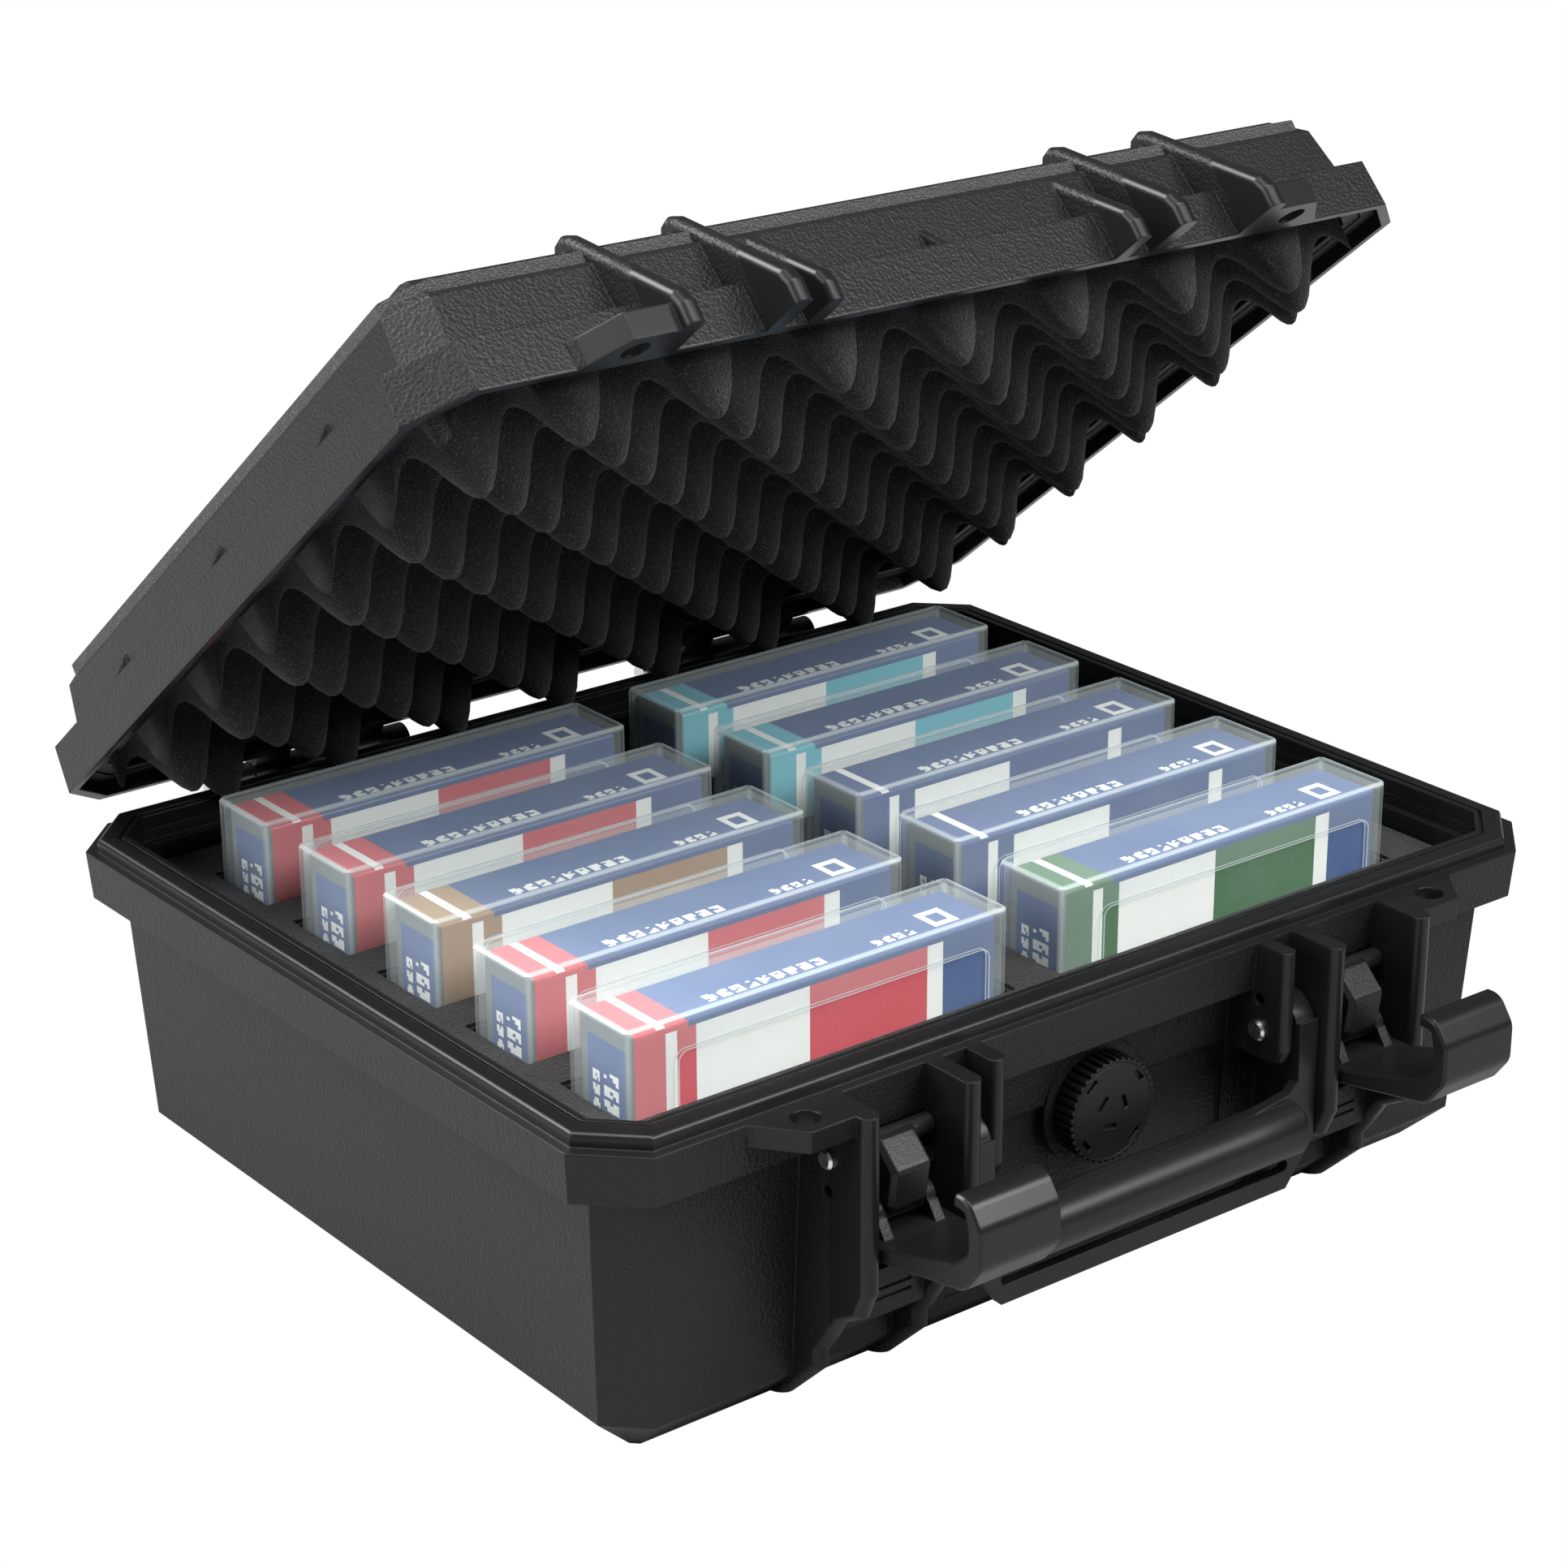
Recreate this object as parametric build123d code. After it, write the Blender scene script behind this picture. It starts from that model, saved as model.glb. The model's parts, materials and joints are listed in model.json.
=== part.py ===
from build123d import *
from math import cos, pi, sin
import os

# Hard-shell carrying case: a moulded base and a hinged lid, two draw latches, a folding handle,
# a pressure valve, foam in both halves and ten cartridges in clear cases standing in the foam.
# Millimetres. +X runs along the front, +Y to the hinge, +Z up; the origin is the centre of the
# base's underside. The lid is drawn shut and then turned back to the angle it stands at.

# ---- overall sizes -------------------------------------------------------------------------
case_width = 336.0            # over the rim band, left to right
case_depth = 270.4            # over the rim band, front to back
base_height = 96.6            # underside to the parting plane
wall = 3.5                    # shell wall
rim_gap = 0.3                 # between the two rims when shut

# ---- base shell ----------------------------------------------------------------------------
base_band_height = 14.3       # the band that stands out round the rim
base_band_draft = 1.1
band_corner = 15.4            # corner chamfer of both bands at the parting plane
base_wall_inset_top = 9.6     # body wall behind the band's face, under the band
base_wall_inset_low = 13.1    # the same where the lower bevel starts
base_wall_corner = 10.1       # corner chamfer of the body
base_bevel_height = 12.4
base_bevel_run = 13.0         # how far the lower bevel goes in
base_foot_corner = 2.0        # corner chamfer left at the underside
band_skin = 2.5               # outer skin of both bands
base_deck = 4.0               # thickness of the rim deck of the base

# ---- sealing rim ---------------------------------------------------------------------------
ridge_inset = 2.9             # from the band's face to the raised ridge
ridge_width = 5.1
ridge_height = 4.0
ridge_round = 1.6
rim_groove_width = 0.8
rim_groove_depth = 1.2
rim_lip_width = 2.0
seal_thickness = 1.6
seal_squeeze_gap = 0.3        # between the ridge and the seal

# ---- lid shell -----------------------------------------------------------------------------
lid_band_height = 14.5
lid_band_draft = 1.2
lid_band_corner_top = 14.1
lid_wall_inset = 8.4          # dome wall behind the band's face at the parting plane
lid_dome_draft = 2.0
lid_dome_corner = 9.4
lid_dome_rise = 15.6          # from the band's top to the upper bevel
lid_bevel_height = 8.9
lid_bevel_run = 10.2
lid_top_corner = 1.5
lid_web = 1.6                 # web over the seal that ties band and dome
gusset_thickness = 2.4
gusset_rise = 7.7
gusset_pitch = 74.0
side_gussets = 3

# ---- hinge ---------------------------------------------------------------------------------
hinge_back = 10.3             # pivot behind the band's rear face
hinge_drop = 2.3              # pivot below the parting plane
hinge_radius = 5.0
hinge_pin_radius = 2.0
hinge_widths = [12.0, 12.0, 21.0, 12.0, 10.0]   # knuckles from left to right, base first
hinge_left_start = -111.0
hinge_right_start = 49.0
hinge_end_gap = 0.4           # between knuckles
pin_clearance = 0.05          # radial, every pin in the piece that turns on it
pin_seat = 0.01               # radial, every pin in the piece that holds it
hinge_head_length = 2.2
lid_open_angle = 38.9

# ---- fins, lugs and latch bays ---------------------------------------------------------------
bay_inner = 67.6              # half-spacing of the latch bays' inner sides
bay_outer = 95.0
latch_fin = 5.5               # thickness of the fins beside a bay
hand_fin = 4.8                # thickness of the short fins that carry the handle
handle_gap = 7.8              # between hand fin and latch fin
fin_reach = 16.8              # fins stand out this far from the band's face
fin_foot_reach = 3.0
fin_low = 36.0                # where the fin's front turns under
fin_under = 24.5              # height of the fin's underside at the wall
fin_turn = 11.0
foot_height = 17.5
hand_fin_reach = 11.0
hand_fin_low = 62.0
lug_reach = 12.8
lug_end = 114.5               # front corner of the padlock lug
lug_root = 124.5              # where its slanted end meets the band
lug_thickness = 6.0
lid_lug_thickness = 7.6
lug_hole_radius = 4.0
lug_hole_x = 110.6
lug_hole_out = 5.6            # hole axis in front of the band's face
pivot_out = 1.6               # latch and handle pivots in front of the band's face
latch_pivot_height = 80.3
handle_pivot_height = 71.3
spare_hole_radius = 1.8
bay_bar_low = 28.5
bay_bar_high = 42.0
bay_bar_thickness = 4.0
bay_groove = 0.8
lid_fin_start = 26.0          # lid fins start this far behind the band's face
lid_fin_top_rise = 4.2        # and this far above the lid's top
lid_fin_bend = 9.9           # height of the bend above the parting plane
lid_hand_fin_start = 10.4
lid_hand_fin_bend = 9.5
lid_hand_fin_reach = 12.6

# ---- draw latch ----------------------------------------------------------------------------
latch_side_gap = 0.4
hub_radius = 2.9
latch_pin_radius = 1.5
rivet_head_radius = 2.75
rivet_head_height = 1.4
link_out = 3.5                # lever pivot from the hub, outwards
link_down = 17.0              # and downwards
link_width = 13.0
link_bulge = 10.8             # the link's face stands this far in front of the hub
link_shoulder = 4.3           # its widest place, below the hub
elbow_radius = 3.4
elbow_pin_radius = 1.5
ear_width = 3.2               # the lever's two ears beside the link
ear_gap = 0.3
lever_plate = 5.2
lever_root_drop = 9.9         # from the lever pivot down to the underside of the root
lever_root_back = 3.6         # the root ends this far behind the pivot
lever_tilt = 6.8              # rise of the plate's underside from the root to the hook
lever_front = 47.7            # from the lever pivot to the hook's front
lever_rise = 22.5             # from the lever pivot up to the top of the hook
hook_skin = 4.9
hook_back = 10.4              # how far the hook's lip comes back
hook_lip = 3.8                # depth of the lip
hook_round = 5.0
lever_rib = 3.0

# ---- handle --------------------------------------------------------------------------------
handle_pin_radius = 2.0
handle_head_radius = 10.0
handle_side_gap = 0.4
handle_arm_depth = 9.0
handle_grip_height = 45.0     # middle of the grip above the underside
handle_grip_radius = 8.2
handle_grip_out = 10.0        # middle of the grip in front of the pivot
handle_plate = 3.2
handle_bottom = 26.5
handle_slot_height = 3.6
handle_slot_length = 104.0
handle_slot_low = 32.0
handle_corner = 10.0
handle_inner_half = 46.0

# ---- pressure valve ------------------------------------------------------------------------
valve_height = 60.6
valve_collar_radius = 18.0
valve_collar_height = 1.6
valve_knob_radius = 15.0
valve_face_radius = 14.3
valve_knob_length = 7.0
valve_knurls = 40
valve_knurl_depth = 0.7
valve_stem_radius = 6.0
valve_nut_radius = 10.0
valve_nut_length = 4.0
valve_face_thickness = 1.0
valve_slot_width = 1.5
valve_gap = 0.3
finger_recess_depth = 1.0
finger_recess_top = 64.3

# ---- cartridges, their cases and the foam ---------------------------------------------------
cartridge_length = 119.5
cartridge_thickness = 22.6
cartridge_height = 86.6
case_length = 125.7           # clear case, standing on its long edge
case_thickness = 26.5
case_height = 97.0
case_wall = 1.3
case_round = 1.4
column_pitch = 144.6
row_pitch = 43.6
rows = 5
case_top = 111.5
foam_gap = 0.3
base_foam_top = 87.5
pocket_gap = 0.5
floor = 4.0
lid_foam_back = 22.0          # solid part of the lid foam
lid_foam_peak = 27.5          # height of its peaks
peak_pitch = 40.0             # peaks stand in staggered rows
peak_columns = 8
peak_rows = 6
peak_foot = 13.0              # radius of a peak where it leaves the back
peak_shoulder = 8.2           # and where its tip starts to round
peak_round = 5.0
peak_tip = 4.2
peak_sides = 8

half_w = case_width / 2
half_d = case_depth / 2
front = -half_d
back = half_d
band_under = base_height - base_band_height
pivot_y = front - pivot_out
hinge_y = back + hinge_back
hinge_z = base_height - hinge_drop
lid_rim = base_height + rim_gap
lid_band_top = lid_rim + lid_band_height
lid_shoulder = lid_band_top + lid_dome_rise
lid_top = lid_shoulder + lid_bevel_height
rim_top = base_height + ridge_height
lip_inset = ridge_inset + ridge_width + rim_groove_width
opening_inset = lip_inset + rim_lip_width
fin_front = front - fin_reach
hinge_axis = Axis((0, hinge_y, hinge_z), (1, 0, 0))


def plan_corners(inset, corner, z):
    """The corners of the case's plan, drawn in by an inset, each corner cut off."""
    w, d = half_w - inset, half_d - inset
    return [Vector(x, y, z) for x, y in (
        (w - corner, -d), (w, -d + corner), (w, d - corner), (w - corner, d),
        (-w + corner, d), (-w, d - corner), (-w, -d + corner), (-w + corner, -d))]


def frustum(low, high):
    """A solid with flat sides between two outlines with the same number of corners."""
    faces = [make_face(Polyline(*low, close=True)).face(), make_face(Polyline(*high, close=True)).face()]
    for k in range(len(low)):
        n = (k + 1) % len(low)
        faces.append(make_face(Polyline(low[k], low[n], high[n], high[k], close=True)).face())
    return Part(Solid(Shell(faces)).wrapped)


def tier(inset_low, corner_low, z_low, inset_high, corner_high, z_high):
    """One straight-sided tier between two such plans."""
    return frustum(plan_corners(inset_low, corner_low, z_low), plan_corners(inset_high, corner_high, z_high))


def slab(x0, x1, y0, y1, z0, z1):
    """A box between two corners."""
    return Pos((x0 + x1) / 2, (y0 + y1) / 2, (z0 + z1) / 2) * Box(x1 - x0, y1 - y0, z1 - z0)


def rod(radius, x0, x1, y, z):
    """A round bar along X."""
    return Pos((x0 + x1) / 2, y, z) * Rot(0, 90, 0) * Cylinder(radius, x1 - x0)


def side_profile(points, x0, x1):
    """A plate between two X values with its outline given as (y, z) points."""
    wire = Polyline(*[(x0, y, z) for y, z in points], close=True)
    return extrude(make_face(wire), amount=x1 - x0, dir=(1, 0, 0))


def rounded_fin(outer, inner, x0, x1):
    """A plate across X whose outer outline is full-round and whose inner outline is square."""
    plate = side_profile(outer + inner, x0, x1)
    middles = [Vector(0, (y0 + y1) / 2, (z0 + z1) / 2) for (y0, z0), (y1, z1) in zip(outer, outer[1:])]
    edges = []
    for edge in plate.edges():
        middle = edge.center()
        middle.X = 0
        if any((middle - point).length < 0.05 for point in middles) and abs(edge.tangent_at(0.5).X) < 0.1:
            edges.append(edge)
    return fillet(edges, (x1 - x0) / 2 - 0.2)


def both_sides(shape):
    """A shape and its mirror image across the middle of the case."""
    return [shape, mirror(shape, Plane.YZ)]


def opened(shape):
    """Turns a piece of the lid from shut to where the lid stands."""
    return shape.rotate(hinge_axis, -lid_open_angle)


def wall_inset(z):
    """How far the outside of the base's wall lies behind the band's face at a height."""
    share = (z - base_bevel_height) / (band_under - base_bevel_height)
    return base_wall_inset_low + share * (base_wall_inset_top - base_wall_inset_low)


# ---- base shell ----------------------------------------------------------------------------
def base_fin(x0, x1):
    """A tall fin beside a latch bay, with the foot that follows the lower bevel."""
    foot_front = front + fin_foot_reach
    bevel_y = front + base_wall_inset_low + base_bevel_run
    outer = [(fin_front, base_height), (fin_front, fin_low + fin_turn),
             (fin_front + 0.3 * fin_turn, fin_low + 0.3 * fin_turn),
             (fin_front + fin_turn, fin_low - 0.1 * fin_turn),
             (front + 1.0, fin_under), (foot_front, fin_under - 2.0), (foot_front, foot_height),
             (bevel_y - 9.0, 4.0)]
    inner = [(bevel_y - 0.6, 2.0), (front + base_wall_inset_low + 0.7 * wall, base_bevel_height + 0.5),
             (front + base_wall_inset_low + wall / 2, base_bevel_height + 4.0),
             (front + base_wall_inset_top + wall / 2, band_under), (front + wall, base_height)]
    return rounded_fin(outer, inner, x0, x1)


def base_hand_fin(x0, x1):
    """The short fin that carries one end of the handle's pin."""
    reach = front - hand_fin_reach
    inside = front + base_wall_inset_top + wall / 2
    outer = [(reach, base_height), (reach, hand_fin_low + 5.0), (reach + 1.6, hand_fin_low + 1.4),
             (reach + 5.5, hand_fin_low), (inside, hand_fin_low)]
    return rounded_fin(outer, [(inside, band_under), (front + wall, base_height)], x0, x1)


def padlock_lug(z0, z1):
    """The drilled lug beside the outer latch fin, on the left; its end is slanted."""
    points = [(-bay_outer - latch_fin / 2, front + band_skin / 2),
              (-bay_outer - latch_fin / 2, front - lug_reach), (-lug_end, front - lug_reach),
              (-lug_root, front), (-lug_root, front + band_skin / 2)]
    plate = extrude(Pos(0, 0, z0) * make_face(Polyline(*points, close=True)), amount=z1 - z0)
    hole = Pos(-lug_hole_x, front - lug_hole_out, (z0 + z1) / 2) * Cylinder(lug_hole_radius, 4 * (z1 - z0))
    return plate - hole


def hinge_knuckles(start, first, top):
    """The knuckles of one hinge that belong to one half, with the webs that carry them."""
    shapes = []
    x = start
    for number, width in enumerate(hinge_widths):
        if number % 2 == first:
            x0, x1 = x + hinge_end_gap / 2, x + width - hinge_end_gap / 2
            web_z = (hinge_z - hinge_radius, lid_rim + 8.0) if top else (hinge_z - 14.0, hinge_z)
            toe = back - band_skin / 2
            if top:
                web = side_profile([(toe, lid_rim + 1.0), (hinge_y, hinge_z - 1.0),
                                    (hinge_y + hinge_radius - 0.4, hinge_z + 1.5),
                                    (toe, web_z[1])], x0, x1)
            else:
                web = side_profile([(toe, hinge_z + 1.0), (hinge_y, hinge_z + 1.0),
                                    (hinge_y + hinge_radius - 0.4, hinge_z - 1.5),
                                    (toe, web_z[0])], x0, x1)
            shapes += [rod(hinge_radius, x0, x1, hinge_y, hinge_z), web]
        x += width
    return shapes


def make_base_shell():
    under_inset = base_wall_inset_low + base_bevel_run
    shell = tier(under_inset, base_foot_corner, 0, base_wall_inset_low, base_wall_corner, base_bevel_height)
    shell += tier(base_wall_inset_low, base_wall_corner, base_bevel_height,
                  base_wall_inset_top, base_wall_corner, band_under)
    shell += tier(base_wall_inset_top, base_wall_corner, band_under,
                  base_wall_inset_top, base_wall_corner, base_height)
    band = tier(base_band_draft, band_corner - 0.4, band_under, 0, band_corner, base_height)
    channel = tier(base_band_draft + band_skin, band_corner - 1.4, band_under - 1.0,
                   band_skin, band_corner - 1.0, base_height - base_deck)
    shell += band - channel
    ridge = tier(ridge_inset, band_corner - 1.0, base_height, ridge_inset, band_corner - 1.0, rim_top)
    ridge = fillet(ridge.edges().group_by(Axis.Z)[-1], ridge_round)
    shell += ridge
    cavity = tier(under_inset - 1.0, base_foot_corner + 1.0, floor, base_wall_inset_low + wall,
                  base_wall_corner, base_bevel_height + 1.0)
    cavity += tier(base_wall_inset_low + wall, base_wall_corner, base_bevel_height + 1.0,
                   base_wall_inset_top + wall, base_wall_corner, band_under)
    cavity += tier(base_wall_inset_top + wall, base_wall_corner, band_under,
                   base_wall_inset_top + wall, base_wall_corner, base_height - base_deck)
    cavity += tier(opening_inset, base_wall_corner, base_height - base_deck - 0.01,
                   opening_inset, base_wall_corner, rim_top + 1.0)
    shell -= cavity
    groove = tier(lip_inset - rim_groove_width, band_corner - 3.0, rim_top - rim_groove_depth,
                  lip_inset - rim_groove_width, band_corner - 3.0, rim_top + 1.0)
    groove -= tier(lip_inset, band_corner - 3.4, rim_top - rim_groove_depth - 1.0,
                   lip_inset, band_corner - 3.4, rim_top + 2.0)
    shell -= groove
    hand_x = bay_inner - latch_fin - handle_gap - hand_fin
    for fin in (base_fin(-bay_outer - latch_fin, -bay_outer), base_fin(-bay_inner, -bay_inner + latch_fin),
                base_hand_fin(-hand_x - hand_fin, -hand_x)):
        shell += both_sides(fin)
    bar = slab(-bay_outer, -bay_inner, front, front + bay_bar_thickness, bay_bar_low, bay_bar_high)
    bar += slab(-bay_outer, -bay_inner, front + bay_bar_thickness - 0.1,
                front + wall_inset(bay_bar_low) + 1.0,
                bay_bar_high - bay_bar_thickness, bay_bar_high)
    for low in (bay_bar_low + 4.6, bay_bar_low + 7.4):
        bar -= slab(-bay_outer + 4.0, -bay_inner - 4.0, front - 1.0, front + bay_groove,
                    low, low + bay_groove)
    shell += both_sides(bar)
    shell += both_sides(padlock_lug(base_height - lug_thickness, base_height))
    for start in (hinge_left_start, hinge_right_start):
        shell += hinge_knuckles(start, 0, False)
        shell -= rod(hinge_pin_radius + pin_seat, start - 1.0, start + sum(hinge_widths) + 1.0,
                     hinge_y, hinge_z)
    recess = slab(-hand_x, hand_x, front, front + wall_inset(finger_recess_top / 2) + finger_recess_depth,
                  base_bevel_height + 4.0, finger_recess_top)
    shell -= recess
    collar = Pos(0, front + wall_inset(valve_height) + 0.6, valve_height) * Rot(90, 0, 0)
    shell += collar * Cylinder(valve_collar_radius, 2 * valve_collar_height)
    shell -= collar * Cylinder(valve_stem_radius + pin_seat, 40)
    for height, radius in ((latch_pivot_height, latch_pin_radius), (handle_pivot_height, handle_pin_radius)):
        spare = height == handle_pivot_height
        outer = rod(spare_hole_radius if spare else radius + pin_seat, -bay_outer - latch_fin - 1.0,
                    -bay_outer + 1.0, pivot_y, height)
        middle = rod(radius + pin_seat, -bay_inner - 1.0, -bay_inner + latch_fin + 1.0, pivot_y, height)
        inner = rod(radius + pin_seat if spare else spare_hole_radius, -hand_x - hand_fin - 1.0,
                    -hand_x + 1.0, pivot_y, height)
        for hole in (outer, middle, inner):
            for side in both_sides(hole):
                shell -= side
    return shell


# ---- lid shell -----------------------------------------------------------------------------
def lid_fin(x0, x1, reach, start, bend, tall):
    """A fin that leaves the lid's top or shoulder, slopes forward and ends at the parting plane."""
    edge = front - reach
    inside = front + lid_wall_inset + wall / 2
    outer = [(edge, lid_rim), (edge, lid_rim + bend - 4.0), (edge + 1.8, lid_rim + bend)]
    if tall:
        crest = lid_top + lid_fin_top_rise
        outer += [(front + start - 9.3, crest - 1.9), (front + start - 5.8, crest),
                  (front + start - 2.3, crest - 0.6), (front + start, crest - 3.2)]
    else:
        outer += [(front + start, lid_shoulder)]
    web = rim_top + seal_squeeze_gap + seal_thickness + lid_web / 2
    inner = [(inside, web), (front + band_skin / 2, web), (front + band_skin / 2, lid_rim)]
    if tall:
        inner = [(front + start + 1.0, lid_top - wall / 2),
                 (inside + lid_dome_draft + 0.85 * lid_bevel_run, lid_top - wall / 2),
                 (inside + lid_dome_draft, lid_shoulder - 0.3)] + inner
    else:
        inner = [(inside + lid_dome_draft / 2, lid_shoulder - 4.0)] + inner
    return rounded_fin(outer, inner, x0, x1)


def gusset(length):
    """A small web between the band and the dome wall; length is where it starts outside."""
    return [(length + lid_band_draft + 0.6, lid_band_top - 0.8),
            (length + lid_wall_inset + lid_dome_draft / 2, lid_band_top + gusset_rise),
            (length + lid_wall_inset + wall / 2, lid_band_top + gusset_rise - 1.0),
            (length + lid_wall_inset + wall / 2, lid_rim + 7.5),
            (length + lid_band_draft + 0.6, lid_rim + 7.5)]


def lid_gussets():
    shapes = []
    front_web = side_profile([(front + d, z) for d, z in gusset(0)],
                             -gusset_thickness / 2, gusset_thickness / 2)
    for k in range(side_gussets):
        y = (k - (side_gussets - 1) / 2) * gusset_pitch
        wire = Polyline(*[(-half_w + d, y - gusset_thickness / 2, z) for d, z in gusset(0)], close=True)
        shapes += both_sides(extrude(make_face(wire), amount=gusset_thickness, dir=(0, 1, 0)))
    for x in (-gusset_pitch * 1.6, 0, gusset_pitch * 1.6):
        shapes.append(Pos(x, 0, 0) * mirror(front_web, Plane.XZ))
    return shapes + [front_web]


def make_lid_shell():
    web_low = rim_top + seal_squeeze_gap + seal_thickness
    shell = tier(lid_wall_inset, lid_dome_corner, rim_top + 2 * seal_squeeze_gap,
                 lid_wall_inset, lid_dome_corner, lid_band_top)
    shell += tier(lid_wall_inset, lid_dome_corner, lid_band_top,
                  lid_wall_inset + lid_dome_draft, lid_dome_corner, lid_shoulder)
    shell += tier(lid_wall_inset + lid_dome_draft, lid_dome_corner, lid_shoulder,
                  lid_wall_inset + lid_dome_draft + lid_bevel_run, lid_top_corner, lid_top)
    band = tier(0, band_corner, lid_rim, lid_band_draft, lid_band_corner_top, lid_band_top)
    band -= tier(band_skin, band_corner - 1.0, lid_rim - 1.0, band_skin, band_corner - 1.0, web_low)
    band -= tier(band_skin + lid_band_draft / 2, lid_band_corner_top - 1.0, web_low + lid_web,
                 band_skin + lid_band_draft, lid_band_corner_top - 1.0, lid_band_top + 1.0)
    shell += band
    inner = lid_wall_inset + wall
    cavity = tier(inner, lid_dome_corner, lid_rim - 1.0, inner, lid_dome_corner, lid_band_top)
    cavity += tier(inner, lid_dome_corner, lid_band_top,
                   inner + lid_dome_draft, lid_dome_corner, lid_shoulder - 1.0)
    cavity += tier(inner + lid_dome_draft, lid_dome_corner, lid_shoulder - 1.0,
                   inner + lid_dome_draft + lid_bevel_run * 0.6, lid_dome_corner / 2, lid_top - wall)
    shell -= cavity
    for web in lid_gussets():
        shell += web
    hand_x = bay_inner - latch_fin - handle_gap - hand_fin
    for x0, x1 in ((-bay_outer - latch_fin, -bay_outer), (-bay_inner, -bay_inner + latch_fin)):
        shell += both_sides(lid_fin(x0, x1, fin_reach, lid_fin_start, lid_fin_bend, True))
    shell += both_sides(lid_fin(-hand_x - hand_fin, -hand_x, lid_hand_fin_reach, lid_hand_fin_start,
                                lid_hand_fin_bend, False))
    shell += both_sides(padlock_lug(lid_rim, lid_rim + lid_lug_thickness))
    for start in (hinge_left_start, hinge_right_start):
        shell += hinge_knuckles(start, 1, True)
        shell -= rod(hinge_pin_radius + pin_clearance, start - 1.0, start + sum(hinge_widths) + 1.0,
                     hinge_y, hinge_z)
    return opened(shell)


def make_lid_seal():
    """The rubber cord under the lid's web, over the ridge of the base."""
    outer, inner = band_skin + 0.3, lid_wall_inset - 0.2
    low = rim_top + seal_squeeze_gap
    ring = tier(outer, band_corner - 1.0, low, outer, band_corner - 1.0, low + seal_thickness)
    corner = lid_dome_corner - 0.2
    ring -= tier(inner, corner, low - 1.0, inner, corner, low + seal_thickness + 1.0)
    return opened(ring)


# ---- pins and rivets -----------------------------------------------------------------------
def rivet_head(radius, height, x, y, z, way):
    """A low head on the end of a rivet; way is the X direction it points."""
    head = rod(radius, min(x, x + way * height), max(x, x + way * height), y, z)
    rim = head.edges().filter_by(GeomType.CIRCLE).sort_by(Axis.X)[-1 if way > 0 else 0]
    return chamfer(rim, 0.5 * height)


def latch_pin():
    """The rivet that a draw latch swings on, through both fins of the left bay."""
    x0, x1 = -bay_outer - latch_fin, -bay_inner + latch_fin
    pin = rod(latch_pin_radius, x0, x1, pivot_y, latch_pivot_height)
    return pin + rivet_head(rivet_head_radius, rivet_head_height, x0, pivot_y, latch_pivot_height, -1)


def handle_pin():
    """The rivet of the handle's left arm, from the latch fin to the hand fin."""
    x0 = -bay_inner
    x1 = -bay_inner + latch_fin + handle_gap + hand_fin
    pin = rod(handle_pin_radius, x0, x1, pivot_y, handle_pivot_height)
    pin += rivet_head(handle_pin_radius + 1.1, rivet_head_height, x1, pivot_y, handle_pivot_height, 1)
    return pin


def hinge_pin(start):
    """A plain steel pin through five knuckles, with a head at its left end."""
    pin = rod(hinge_pin_radius, start, start + sum(hinge_widths), hinge_y, hinge_z)
    pin += rod(hinge_pin_radius + 1.0, start - hinge_head_length, start, hinge_y, hinge_z)
    return pin


# ---- draw latch ----------------------------------------------------------------------------
bay_mid = (bay_inner + bay_outer) / 2
lever_width = bay_outer - bay_inner - 2 * latch_side_gap
elbow_y = pivot_y - link_out
elbow_z = latch_pivot_height - link_down


def rounded_edges(solid, corners):
    """Rounds edges that run along X; each corner is y, z and a radius."""
    for y, z, radius in corners:
        edges = [e for e in solid.edges()
                 if abs(e.center().Y - y) < 0.02 and abs(e.center().Z - z) < 0.02 and e.length > 1.0]
        solid = fillet(edges, radius)
    return solid


def latch_link():
    """The hub on the rivet and the thick arm that hangs from it to the lever's pivot, left latch."""
    x0, x1 = -bay_mid - link_width / 2, -bay_mid + link_width / 2
    face = pivot_y - link_bulge
    shoulder = latch_pivot_height - link_shoulder
    arm = side_profile([(pivot_y + 1.0, latch_pivot_height + hub_radius - 0.4),
                        (pivot_y - 4.0, latch_pivot_height + hub_radius - 0.6),
                        (face, shoulder), (face + 1.6, elbow_z + 2.0),
                        (elbow_y - 1.5, elbow_z - elbow_radius + 0.4), (elbow_y + elbow_radius - 0.2, elbow_z),
                        (pivot_y + 2.2, latch_pivot_height - 4.0)], x0, x1)
    arm = rounded_edges(arm, [(face, shoulder, 2.2), (face + 1.6, elbow_z + 2.0, 2.5)])
    front_edges = [e for e in arm.edges() if e.center().Y < elbow_y - 2.0 and abs(e.tangent_at(0.5).X) < 0.1]
    arm = chamfer(front_edges, 1.4)
    hub = rod(hub_radius, -bay_mid - lever_width / 2, -bay_mid + lever_width / 2, pivot_y, latch_pivot_height)
    link = hub + arm + rod(elbow_radius, x0, x1, elbow_y, elbow_z)
    link -= rod(latch_pin_radius + pin_clearance, -bay_outer, -bay_inner, pivot_y, latch_pivot_height)
    link -= rod(elbow_pin_radius + pin_seat, -bay_outer, -bay_inner, elbow_y, elbow_z)
    return link


def elbow_pin():
    """The short pin that the lever turns on."""
    reach = link_width / 2 + ear_gap + ear_width
    return rod(elbow_pin_radius, -bay_mid - reach, -bay_mid + reach, elbow_y, elbow_z)


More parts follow.
